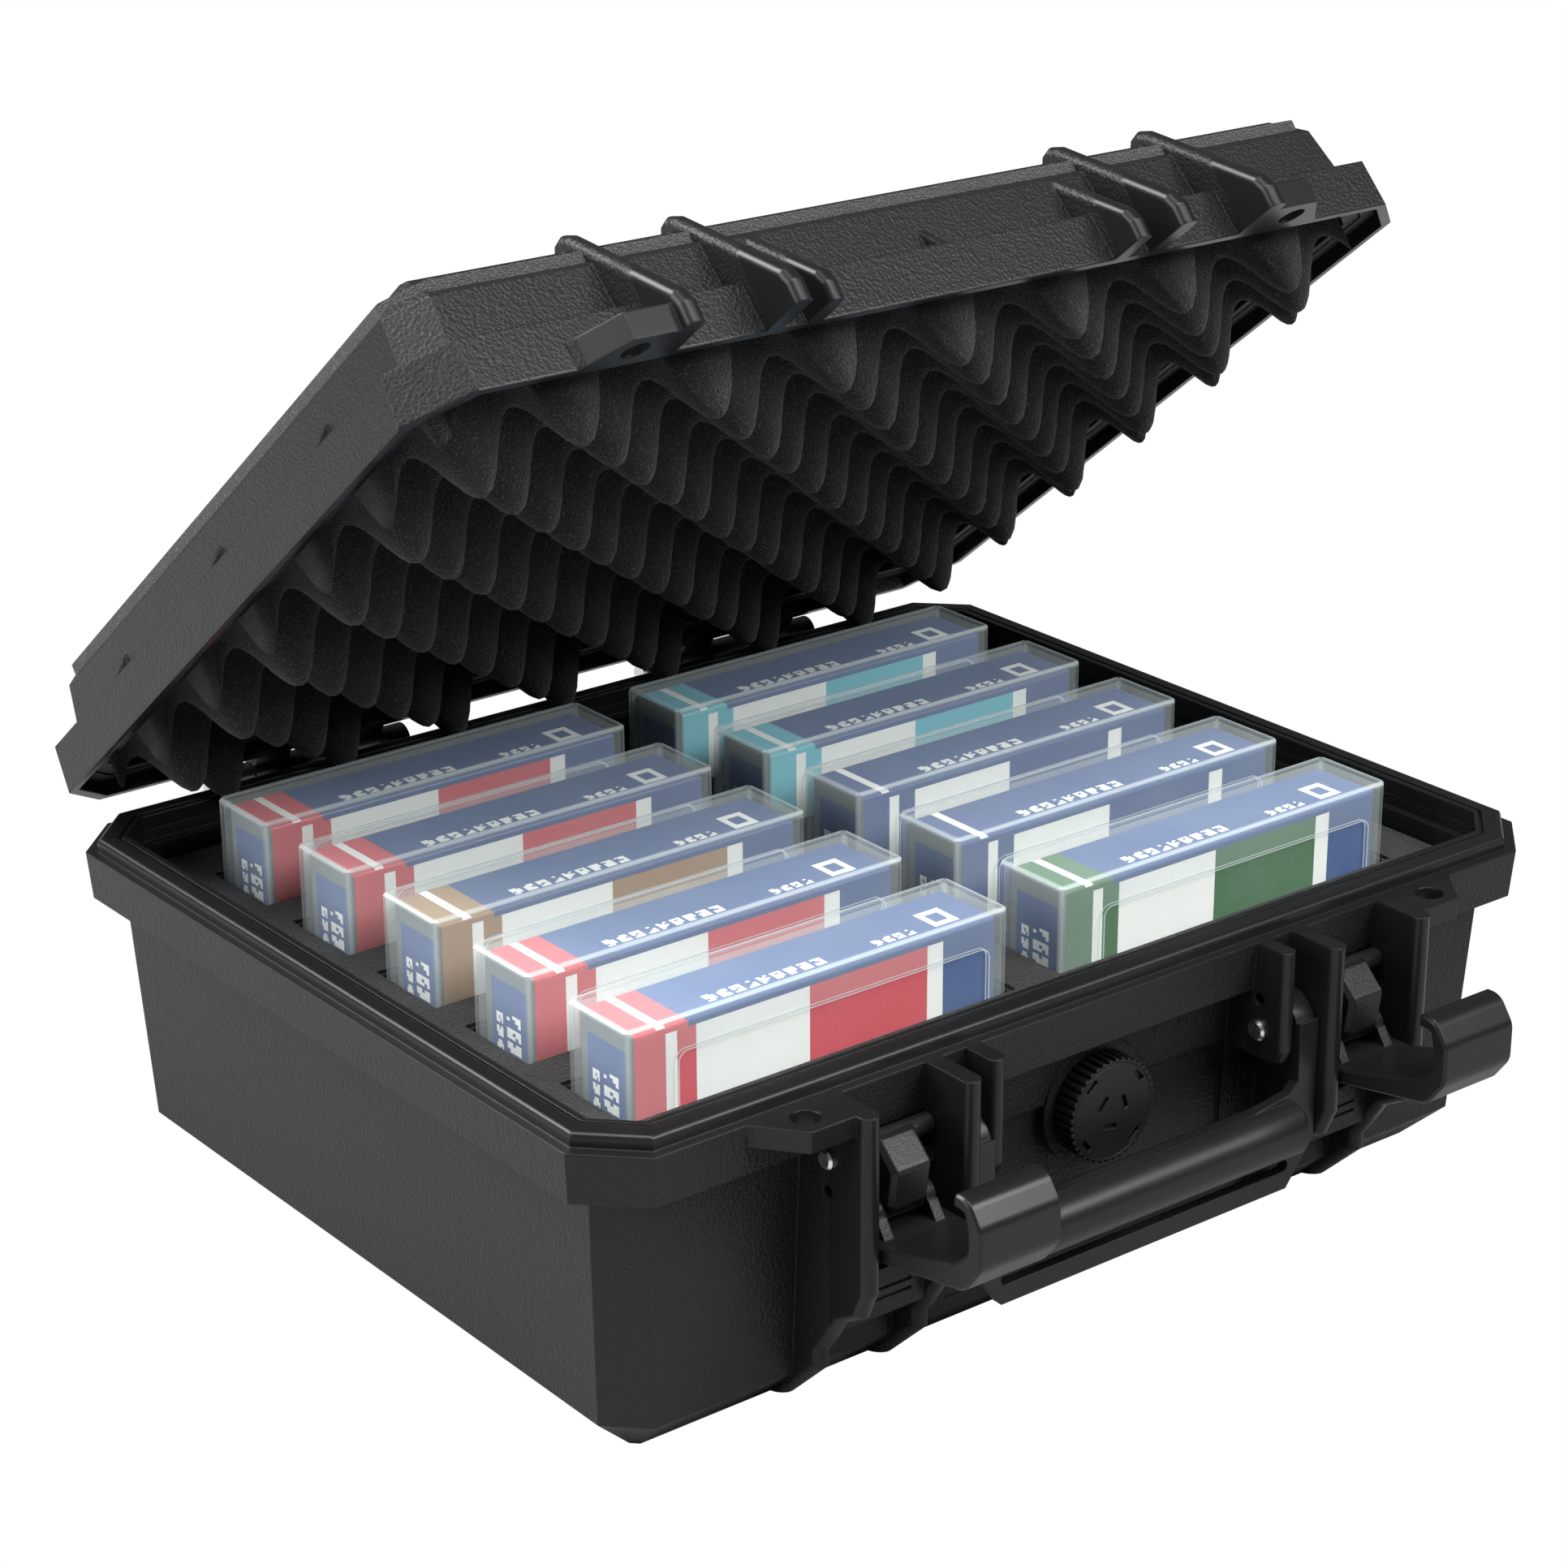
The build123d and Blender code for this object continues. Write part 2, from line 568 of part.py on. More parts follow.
def latch_lever():
    """Plate, hook and two pivot ears in one moulding, standing open, left latch."""
    y, z = elbow_y, elbow_z
    x0, x1 = -bay_mid - lever_width / 2, -bay_mid + lever_width / 2
    low = z - lever_root_drop
    hook_low = low + lever_tilt
    hook_front = y - lever_front
    hook_top = z + lever_rise
    hook_inner = hook_front + hook_skin
    outline = [(y + lever_root_back, low + lever_plate), (y + lever_root_back, low + 1.2),
               (y + 1.0, low), (y - 9.0, low + 0.8), (hook_front + 6.0, hook_low),
               (hook_front, hook_low + 8.0), (hook_front, hook_top - 7.0), (hook_front + 5.0, hook_top),
               (hook_front + hook_back, hook_top), (hook_front + hook_back, hook_top - hook_lip),
               (hook_front + hook_back - 2.8, hook_top - hook_lip),
               (hook_front + hook_back - 4.2, hook_top - hook_skin + 0.6), (hook_inner, hook_top - 9.0),
               (hook_inner, hook_low + 11.0), (hook_inner + 6.0, hook_low + lever_plate + 0.6),
               (y - 10.0, low + lever_plate)]
    plate = side_profile(outline, x0, x1)
    plate = rounded_edges(plate, [
        (hook_front, hook_low + 8.0, 6.0), (hook_front + 6.0, hook_low, 6.0),
        (hook_front, hook_top - 7.0, hook_round),
        (hook_front + 5.0, hook_top, hook_round), (hook_front + hook_back, hook_top, 1.4),
        (hook_inner, hook_low + 11.0, 4.0), (hook_inner + 6.0, hook_low + lever_plate + 0.6, 5.0)])
    ends = [e for e in plate.edges() if e.center().Y < hook_front + hook_back + 0.5
            and (abs(e.center().X - x0) < 0.01 or abs(e.center().X - x1) < 0.01)]
    plate = chamfer(ends, 0.7)
    lever = plate
    inner = link_width / 2 + ear_gap
    for ear_x in (-bay_mid - inner - ear_width, -bay_mid + inner):
        ear = side_profile([(y - elbow_radius - 1.2, z), (y - elbow_radius - 5.0, low + lever_plate - 1.0),
                            (y + lever_root_back, low + lever_plate - 1.0), (y + elbow_radius, z)],
                           ear_x, ear_x + ear_width)
        lever += [ear, rod(elbow_radius + 0.6, ear_x, ear_x + ear_width, y, z)]
    lever += slab(x0 + 6.0, x1 - 6.0, y - 27.0, y - 24.0,
                  low + lever_plate - 0.5, low + lever_plate + lever_rib)
    lever -= rod(elbow_pin_radius + pin_clearance, -bay_outer, -bay_inner, y, z)
    return lever


# ---- handle --------------------------------------------------------------------------------
def make_handle():
    arm_in = bay_inner - latch_fin - handle_gap + handle_side_gap
    arm_out = bay_inner - latch_fin - handle_side_gap
    plate_front = pivot_y - handle_grip_out - 1.0
    outline = [(-arm_out, handle_pivot_height), (-arm_out, handle_bottom + handle_corner * 1.3),
               (-arm_out + handle_corner, handle_bottom), (arm_out - handle_corner, handle_bottom),
               (arm_out, handle_bottom + handle_corner * 1.3), (arm_out, handle_pivot_height),
               (arm_in, handle_pivot_height), (arm_in, handle_grip_height + 13.0),
               (arm_in - 3.0, handle_grip_height + 10.0),
               (handle_inner_half - 8.0, handle_grip_height + handle_grip_radius),
               (-handle_inner_half + 8.0, handle_grip_height + handle_grip_radius),
               (-arm_in + 3.0, handle_grip_height + 10.0), (-arm_in, handle_grip_height + 13.0),
               (-arm_in, handle_pivot_height)]
    wire = Polyline(*[(x, plate_front, z) for x, z in outline], close=True)
    plate = extrude(make_face(wire), amount=handle_plate, dir=(0, 1, 0))
    slot_z = handle_slot_low + handle_slot_height / 2
    slot = Pos(0, plate_front, slot_z) * Rot(90, 0, 0) * extrude(
        SlotOverall(handle_slot_length, handle_slot_height), amount=4 * handle_plate, both=True)
    handle = plate - slot
    grip_y = pivot_y - handle_grip_out
    grip = rod(handle_grip_radius, -arm_out + 6.0, arm_out - 6.0, grip_y, handle_grip_height)
    grip = chamfer(grip.edges().filter_by(GeomType.CIRCLE), 3.0)
    core = rod(handle_grip_radius - 2.6, -arm_out + 12.0, arm_out - 12.0, grip_y, handle_grip_height)
    core += slab(-arm_out + 12.0, arm_out - 12.0, grip_y, grip_y + 2 * handle_grip_radius,
                 handle_grip_height - 2.6, handle_grip_height + 2.6)
    handle += grip - core
    for side in (-1, 1):
        x0, x1 = sorted((side * arm_in, side * arm_out))
        arm = side_profile([(plate_front, handle_pivot_height + 4.0), (plate_front, handle_grip_height - 6.0),
                            (plate_front + handle_arm_depth, handle_grip_height - 2.0),
                            (pivot_y + handle_head_radius - 4.0, handle_pivot_height - 4.0),
                            (pivot_y, handle_pivot_height + 1.0)], x0, x1)
        head = rod(handle_head_radius, x0, x1, pivot_y, handle_pivot_height)
        handle += [arm, head]
        handle -= rod(handle_pin_radius + pin_clearance, x0 - 1.0, x1 + 1.0, pivot_y, handle_pivot_height)
    return handle


# ---- pressure valve ------------------------------------------------------------------------
valve_seat_y = front + wall_inset(valve_height) + 0.6 - valve_collar_height
valve_place = Pos(0, valve_seat_y, valve_height) * Rot(90, 0, 0)


def valve_knob():
    """Knurled cap with a hollow for its face disc, and the stem that passes the wall."""
    knob = Pos(0, 0, valve_gap + valve_knob_length / 2) * Cylinder(valve_knob_radius, valve_knob_length)
    for k in range(valve_knurls):
        cut = Pos(valve_knob_radius, 0, valve_gap) * Box(2 * valve_knurl_depth, 1.1, 3 * valve_knob_length)
        knob -= Rot(0, 0, k * 360 / valve_knurls) * cut
    knob -= (Pos(0, 0, valve_gap + valve_knob_length)
             * Cylinder(valve_face_radius - 0.6, 2 * valve_face_thickness))
    knob += Pos(0, 0, valve_gap - (wall + 2 * valve_nut_length + 3.0) / 2) * Cylinder(
        valve_stem_radius - pin_clearance, wall + 2 * valve_nut_length + 3.0)
    return valve_place * knob


def valve_face():
    """Pressed disc with rim slots and three curved vents."""
    disc = Cylinder(valve_face_radius - 0.7, valve_face_thickness)
    for k in range(4):
        disc -= Rot(0, 0, 40 + 90 * k) * Pos(valve_face_radius * 0.84, 0, 0) * Box(valve_slot_width, 4.2, 5)
    for k in range(3):
        vent = Rot(0, 0, 120 * k + 20) * Pos(valve_face_radius * 0.31, 0, 0) * Box(valve_slot_width, 4.4, 5)
        disc -= vent
    return valve_place * Pos(0, 0, valve_gap + valve_knob_length - valve_face_thickness / 2) * disc


def valve_nut():
    """The nut that holds the valve from inside."""
    stem_length = wall + valve_nut_length
    nut = extrude(RegularPolygon(valve_nut_radius, 6), amount=valve_nut_length)
    nut -= Cylinder(valve_stem_radius + pin_seat, 4 * valve_nut_length)
    return valve_place * Pos(0, 0, -stem_length - valve_collar_height - 0.4) * nut


# ---- foam ----------------------------------------------------------------------------------
def case_places():
    """Middle of each clear case in plan, by side and row, row 1 at the front."""
    for side, column in (("left", -1), ("right", 1)):
        for row in range(rows):
            x = column * column_pitch / 2
            y = (row - (rows - 1) / 2) * row_pitch
            yield side, row + 1, x, y


def make_base_foam():
    """The block in the base, with a pocket for every clear case."""
    under = base_wall_inset_low + wall + foam_gap
    low = base_bevel_height + 1.0 + foam_gap
    foam = tier(under + base_bevel_run - 3.0, base_foot_corner + 2.0, floor + foam_gap,
                under, base_wall_corner + 0.5, low)
    foam += tier(under, base_wall_corner + 0.5, low, base_wall_inset_top + wall + 2 * foam_gap,
                 base_wall_corner + 0.5, base_foam_top)
    pocket = Pos(0, 0, (case_top - case_height - foam_gap + base_foam_top + 5.0) / 2) * Box(
        case_length + 2 * pocket_gap, case_thickness + 2 * pocket_gap,
        base_foam_top + 5.0 - (case_top - case_height - foam_gap))
    for _, _, x, y in case_places():
        foam -= Pos(x, y, 0) * pocket
    nut_room = valve_place * Pos(0, 0, -wall - valve_collar_height) * Cylinder(
        valve_nut_radius + 2.0, 4 * valve_nut_length + 6.0)
    return foam - nut_room


def make_lid_foam():
    """Convoluted foam in the lid: a flat back and staggered peaks that point down."""
    inner = lid_wall_inset + wall
    top = lid_top - wall - foam_gap
    back_low = top - lid_foam_back
    foam = tier(inner + foam_gap, lid_dome_corner, back_low,
                inner + lid_dome_draft + foam_gap, lid_dome_corner, lid_shoulder - 1.0 - foam_gap)
    foam += tier(inner + lid_dome_draft + foam_gap, lid_dome_corner, lid_shoulder - 1.0 - foam_gap,
                 inner + lid_dome_draft + lid_bevel_run * 0.6 + foam_gap, lid_dome_corner / 2, top)
    tip_z = back_low - lid_foam_peak
    rings = []
    for z, radius in ((back_low + 1.0, peak_foot), (tip_z + peak_round, peak_shoulder), (tip_z, peak_tip)):
        turns = [2 * pi * (k + 0.5) / peak_sides for k in range(peak_sides)]
        rings.append([Vector(radius * cos(turn), radius * sin(turn), z) for turn in turns])
    peak = frustum(rings[1], rings[0]) + frustum(rings[2], rings[1])
    room_x = half_w - inner - foam_gap - peak_foot
    room_y = half_d - inner - foam_gap - peak_foot
    peaks = []
    for column in range(-peak_columns, peak_columns + 1):
        for row in range(-peak_rows, peak_rows + 1):
            x, y = column * peak_pitch / 2, row * peak_pitch / 2
            if (column + row) % 2 == 0 and abs(x) <= room_x and abs(y) <= room_y:
                peaks.append(Pos(x, y, 0) * peak)
    foam += peaks
    return opened(foam)


# ---- cartridges and clear cases --------------------------------------------------------------
def clear_case():
    """A clear case standing on its long edge, hollow, its middle at the origin in plan."""
    low = case_top - case_height
    outer = Pos(0, 0, low + case_height / 2) * Box(case_length, case_thickness, case_height)
    outer = chamfer(outer.edges().filter_by(Axis.Z), case_round)
    outer = chamfer(outer.edges().group_by(Axis.Z)[-1], case_round / 2)
    hollow = Pos(0, 0, low + case_height / 2) * Box(
        case_length - 2 * case_wall, case_thickness - 2 * case_wall, case_height - 2 * case_wall)
    return outer - hollow


def cartridge():
    """The cartridge inside a clear case, with its finger step and its connector recess."""
    low = case_top - case_height + case_wall + foam_gap
    body = Pos(0, 0, low + cartridge_height / 2) * Box(cartridge_length, cartridge_thickness, cartridge_height)
    body = chamfer(body.edges().filter_by(Axis.Z), 1.2)
    label = Pos(0, 0, low + cartridge_height) * Box(cartridge_length - 20.0, cartridge_thickness - 5.0, 0.8)
    plug = Pos(-cartridge_length / 2, 0, low + 14.0) * Box(6.0, cartridge_thickness - 8.0, 12.0)
    return body - label - plug


os.makedirs("parts", exist_ok=True)
parts = {
    "base_shell": make_base_shell(),
    "base_foam": make_base_foam(),
    "lid_shell": make_lid_shell(),
    "lid_seal": make_lid_seal(),
    "lid_foam": make_lid_foam(),
    "hinge_pin_left": hinge_pin(hinge_left_start),
    "hinge_pin_right": hinge_pin(hinge_right_start),
    "handle": make_handle(),
    "valve_knob": valve_knob(),
    "valve_face": valve_face(),
    "valve_nut": valve_nut(),
}
for name, shape in (("latch_pin", latch_pin()), ("handle_pin", handle_pin()), ("latch_link", latch_link()),
                    ("elbow_pin", elbow_pin()), ("latch_lever", latch_lever())):
    parts[name + "_left"], parts[name + "_right"] = both_sides(shape)
for side, row, x, y in case_places():
    parts[f"clear_case_{side}_{row}"] = Pos(x, y, 0) * clear_case()
    parts[f"cartridge_{side}_{row}"] = Pos(x, y, 0) * cartridge()
for node, shape in parts.items():
    export_step(shape, f"parts/{node}.step")
    print(node, len(shape.solids()), round(shape.volume))
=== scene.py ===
import json
from math import cos, pi, radians, sin

import bmesh
import bpy
from mathutils import Matrix, Vector, noise


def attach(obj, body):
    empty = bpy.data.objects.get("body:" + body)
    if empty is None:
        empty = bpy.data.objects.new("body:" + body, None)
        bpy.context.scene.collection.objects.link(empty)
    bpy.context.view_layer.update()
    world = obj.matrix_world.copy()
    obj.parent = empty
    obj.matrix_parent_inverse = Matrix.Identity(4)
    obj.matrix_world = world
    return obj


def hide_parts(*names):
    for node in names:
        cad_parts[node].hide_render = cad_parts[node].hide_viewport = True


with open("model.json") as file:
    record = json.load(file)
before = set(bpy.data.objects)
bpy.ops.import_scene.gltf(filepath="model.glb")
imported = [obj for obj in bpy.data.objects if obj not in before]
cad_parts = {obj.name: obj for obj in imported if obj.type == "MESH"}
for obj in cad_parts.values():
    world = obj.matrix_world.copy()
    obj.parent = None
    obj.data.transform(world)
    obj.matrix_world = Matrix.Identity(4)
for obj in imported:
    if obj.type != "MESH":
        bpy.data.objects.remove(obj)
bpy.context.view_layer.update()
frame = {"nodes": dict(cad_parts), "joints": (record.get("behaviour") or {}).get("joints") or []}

nodes = frame["nodes"]

hinge = next(j for j in frame["joints"] if j["name"] == "lid_hinge")
hingePoint = Vector(hinge["pos_m"])
openAngle = radians(38.9)
lidTurn = (Matrix.Translation(hingePoint) @ Matrix.Rotation(-openAngle, 4, "X")
           @ Matrix.Translation(-hingePoint))


# a small builder that adds and links the shader nodes of one material
class Recipe:
    def __init__(self, name):
        self.material = bpy.data.materials.new(name)
        self.material.use_nodes = True
        self.tree = self.material.node_tree
        self.tree.nodes.clear()
        self.bsdf = self.add("ShaderNodeBsdfPrincipled")
        self.output = self.add("ShaderNodeOutputMaterial", {"Surface": self.bsdf.outputs[0]})
        self.place = self.add("ShaderNodeTexCoord")

    def add(self, kind, inputs=None, **settings):
        item = self.tree.nodes.new(kind)
        for key, value in settings.items():
            setattr(item, key, value)
        for key, value in (inputs or {}).items():
            if isinstance(value, bpy.types.NodeSocket):
                self.tree.links.new(value, item.inputs[key])
            else:
                item.inputs[key].default_value = value
        return item

    def calc(self, operation, *values, clamp=False):
        step = self.add("ShaderNodeMath", dict(enumerate(values)), operation=operation)
        step.use_clamp = clamp
        return step.outputs[0]

    def ramp(self, value, low, high):
        return self.add("ShaderNodeMapRange", {"Value": value, "From Min": low, "From Max": high},
                        interpolation_type="SMOOTHSTEP").outputs[0]

    def mix(self, factor, first, second):
        step = self.add("ShaderNodeMix", data_type="RGBA")
        sockets = (step.inputs[0], step.inputs[6], step.inputs[7])
        for socket, value in zip(sockets, (factor, first, second)):
            if isinstance(value, bpy.types.NodeSocket):
                self.tree.links.new(value, socket)
            else:
                socket.default_value = value
        return step.outputs[2]

    def noise(self, scale, detail=2.0, vector=None, roughness=0.5):
        spot = vector or self.place.outputs["Object"]
        return self.add("ShaderNodeTexNoise", {"Vector": spot, "Scale": scale, "Detail": detail,
                                               "Roughness": roughness}).outputs[0]

    def bump(self, height, distance, strength=1.0, under=None):
        inputs = {"Height": height, "Distance": distance, "Strength": strength}
        if under is not None:
            inputs["Normal"] = under
        return self.add("ShaderNodeBump", inputs).outputs[0]

    def rounded(self, radius):
        return self.add("ShaderNodeBevel", {"Radius": radius}, samples=4).outputs[0]

    def set(self, **values):
        for key, value in values.items():
            socket = self.bsdf.inputs[key.replace("_", " ")]
            if isinstance(value, bpy.types.NodeSocket):
                self.tree.links.new(value, socket)
            else:
                socket.default_value = value
        return self.material


def grey(level):
    return (level, level, level * 1.03, 1)


shellLook = {"colour": 0.0075, "grain": 1000.0, "grainDepth": 0.00020, "roughness": 0.42, "edge": 0.0007,
             "warpScale": 600.0, "warp": 0.0011, "gloss": 0.24}
grainLimits = {"front": (-0.1375, -0.1362), "lidRim": (0.0972, 0.0978), "baseRim": (0.0958, 0.0964)}


def shellMaterial(name, turned):
    look = Recipe(name)
    spot = look.place.outputs["Object"]
    if turned:
        back = lidTurn.inverted()
        spot = look.add("ShaderNodeMapping", {"Vector": spot, "Location": back.translation,
                                              "Rotation": back.to_euler()}).outputs[0]
    axes = look.add("ShaderNodeSeparateXYZ", {0: spot})
    wander = look.add("ShaderNodeVectorMath", {0: look.add("ShaderNodeTexNoise", {
        "Vector": spot, "Scale": shellLook["warpScale"], "Detail": 1.0}).outputs[1], 1: (shellLook["warp"],) * 3},
        operation="MULTIPLY").outputs[0]
    cells = look.add("ShaderNodeVectorMath", {0: spot, 1: wander}, operation="ADD").outputs[0]
    pebble = look.add("ShaderNodeTexVoronoi", {"Vector": cells, "Scale": shellLook["grain"], "Smoothness": 0.4},
                      feature="SMOOTH_F1").outputs[0]
    proud = look.ramp(axes.outputs[1], *grainLimits["front"])
    if turned:
        rim = look.ramp(axes.outputs[2], *grainLimits["lidRim"])
    else:
        rim = look.calc("SUBTRACT", 1.0, look.ramp(axes.outputs[2], *grainLimits["baseRim"]))
    grainy = look.calc("MULTIPLY", proud, rim)
    height = look.calc("MULTIPLY", pebble, grainy)
    soft = look.rounded(shellLook["edge"])
    relief = look.bump(height, shellLook["grainDepth"], 0.9, soft)
    cloud = look.noise(14.0, 3.0, spot)
    tone = look.mix(cloud, grey(shellLook["colour"] * 0.85), grey(shellLook["colour"] * 1.2))
    dull = look.calc("ADD", look.calc("MULTIPLY", grainy, 0.14), look.calc("MULTIPLY", cloud, 0.06))
    rough = look.calc("ADD", dull, shellLook["roughness"] - 0.16)
    return look.set(Base_Color=tone, Roughness=rough, Normal=relief, Specular_IOR_Level=shellLook["gloss"])


fittingLook = {"gloss": 0.27, "edge": 0.0006}


def fittingMaterial(name, colour, roughness, grain, depth):
    look = Recipe(name)
    fine = look.noise(grain, 3.0)
    soft = look.rounded(fittingLook["edge"])
    relief = look.bump(fine, depth, 0.7, soft)
    rough = look.calc("ADD", look.calc("MULTIPLY", look.noise(60.0, 3.0), 0.12), roughness - 0.06)
    return look.set(Base_Color=grey(colour), Roughness=rough, Normal=relief,
                    Specular_IOR_Level=fittingLook["gloss"])


leverLook = {"colour": 0.0075, "seam": 0.0772, "seamStep": 0.00015, "grain": 1300.0, "grainDepth": 0.00012,
             "edge": 0.0007}


# grained below the seam across the hook, smooth above it
def leverMaterial():
    look = Recipe("leverPlastic")
    height = look.add("ShaderNodeSeparateXYZ", {0: look.place.outputs["Object"]}).outputs[2]
    lower = look.calc("LESS_THAN", height, leverLook["seam"])
    step = look.calc("MULTIPLY", lower, -1.0)
    grain = look.calc("MULTIPLY", look.noise(leverLook["grain"], 3.0), lower)
    seam = look.bump(step, leverLook["seamStep"], 0.8, look.rounded(leverLook["edge"]))
    relief = look.bump(grain, leverLook["grainDepth"], 0.8, seam)
    smooth = look.calc("MULTIPLY_ADD", look.noise(60.0), 0.08, 0.24)
    rough = look.calc("ADD", look.calc("MULTIPLY", lower, 0.10), smooth)
    return look.set(Base_Color=grey(leverLook["colour"]), Roughness=rough, Normal=relief,
                    Specular_IOR_Level=fittingLook["gloss"])


def rubberMaterial():
    look = Recipe("sealRubber")
    relief = look.bump(look.noise(900.0, 2.0), 0.00004, 0.6)
    rough = look.calc("ADD", look.calc("MULTIPLY", look.noise(80.0), 0.15), 0.5)
    return look.set(Base_Color=grey(0.006), Roughness=rough, Normal=relief)


def steelMaterial():
    look = Recipe("rivetSteel")
    relief = look.bump(look.noise(400.0, 3.0), 0.00003, 0.5)
    rough = look.calc("ADD", look.calc("MULTIPLY", look.noise(300.0, 2.0), 0.15), 0.2)
    return look.set(Base_Color=(0.62, 0.62, 0.63, 1), Metallic=1.0, Roughness=rough, Normal=relief)


foamLook = {"colour": 0.0044, "cell": 1900.0, "depth": 0.0007, "clump": 1000.0, "glintScale": 1700.0, "glintGain": 7.0,
            "sheen": 0.10}


def foamMaterial(name, lift):
    look = Recipe(name)
    cell = look.add("ShaderNodeTexVoronoi", {"Vector": look.place.outputs["Object"],
                                             "Scale": foamLook["cell"]}, feature="F1").outputs[0]
    clump = look.noise(foamLook["clump"], 3.0, roughness=0.7)
    height = look.calc("ADD", look.calc("MULTIPLY", cell, 0.5), clump)
    relief = look.bump(height, foamLook["depth"], 0.9)
    # the bright specks mixed into the foam colour are painted glints, light caught on the open cells
    paintedGlint = look.ramp(look.noise(foamLook["glintScale"], 2.0), 0.55, 0.70)
    base = foamLook["colour"] * lift
    tone = look.mix(paintedGlint, grey(base), grey(base * foamLook["glintGain"]))
    rough = look.calc("ADD", look.calc("MULTIPLY", clump, 0.1), 0.88)
    return look.set(Base_Color=tone, Roughness=rough, Normal=relief, Sheen_Weight=foamLook["sheen"],
                    Sheen_Roughness=0.6, Specular_IOR_Level=0.2)


baseShellMaterial = shellMaterial("shellPlasticBase", False)
lidShellMaterial = shellMaterial("shellPlasticLid", True)
fittingPlastic = fittingMaterial("fittingPlastic", 0.0075, 0.33, 1000.0, 0.00004)
texturedPlastic = fittingMaterial("texturedPlastic", 0.0075, 0.36, 1300.0, 0.00010)
valvePlastic = fittingMaterial("valvePlastic", 0.007, 0.42, 1100.0, 0.00008)
leverPlastic = leverMaterial()
sealRubber = rubberMaterial()
rivetSteel = steelMaterial()
lidFoamMaterial = foamMaterial("lidFoamCells", 1.25)
baseFoamMaterial = foamMaterial("baseFoamCells", 1.0)


def dress(node, material):
    mesh = nodes[node].data
    mesh.materials.clear()
    mesh.materials.append(material)


dress("base_shell", baseShellMaterial)
dress("lid_shell", lidShellMaterial)
dress("lid_seal", sealRubber)
dress("handle", fittingPlastic)
for side in ("left", "right"):
    dress(f"latch_link_{side}", texturedPlastic)
    dress(f"latch_lever_{side}", leverPlastic)
    for pin in ("hinge_pin", "latch_pin", "handle_pin", "elbow_pin"):
        dress(f"{pin}_{side}", rivetSteel)
for node in ("valve_knob", "valve_face", "valve_nut"):
    dress(node, valvePlastic)
print("shell and fittings dressed")


# cartridges: a printed label round every body
rowPitch = 0.0436
columnPitch = 0.1446
cartridge = {"length": 0.1198, "thickness": 0.0229, "low": 0.0163, "top": 0.1090, "round": 0.0010}
accents = {"left": ("red", "red", "tan", "red", "red"), "right": ("green", "navy", "navy", "cyan", "cyan")}
colours = {"red": (0.60, 0.045, 0.07, 1), "tan": (0.35, 0.21, 0.10, 1), "green": (0.03, 0.13, 0.035, 1),
           "navy": (0.025, 0.065, 0.24, 1), "cyan": (0.10, 0.48, 0.58, 1)}
labelLook = {"blue": (0.022, 0.070, 0.24, 1), "white": (0.87, 0.90, 0.87, 1), "dark": (0.13, 0.15, 0.16, 1)}


# where the printed fields start and end: along the length, across the thickness, or up from the underside
labelFields = {"sideWhite": (0.165, 0.845), "sideAccent": (0.47, 0.80), "sideEnd": (0.0, 0.165),
               "sideStripe": (0.085, 0.115), "topEnd": (0.0, 0.14), "topStripe": (0.062, 0.085),
               "foldEnd": (0.0, 0.145), "fold": 0.0022, "endPanel": (-0.36, 0.36), "endPanelUp": (0.070, 0.1035),
               "badge": (0.855, 0.925), "badgeAcross": (-0.30, 0.12), "hollow": (0.872, 0.908),
               "hollowAcross": (-0.20, 0.02)}


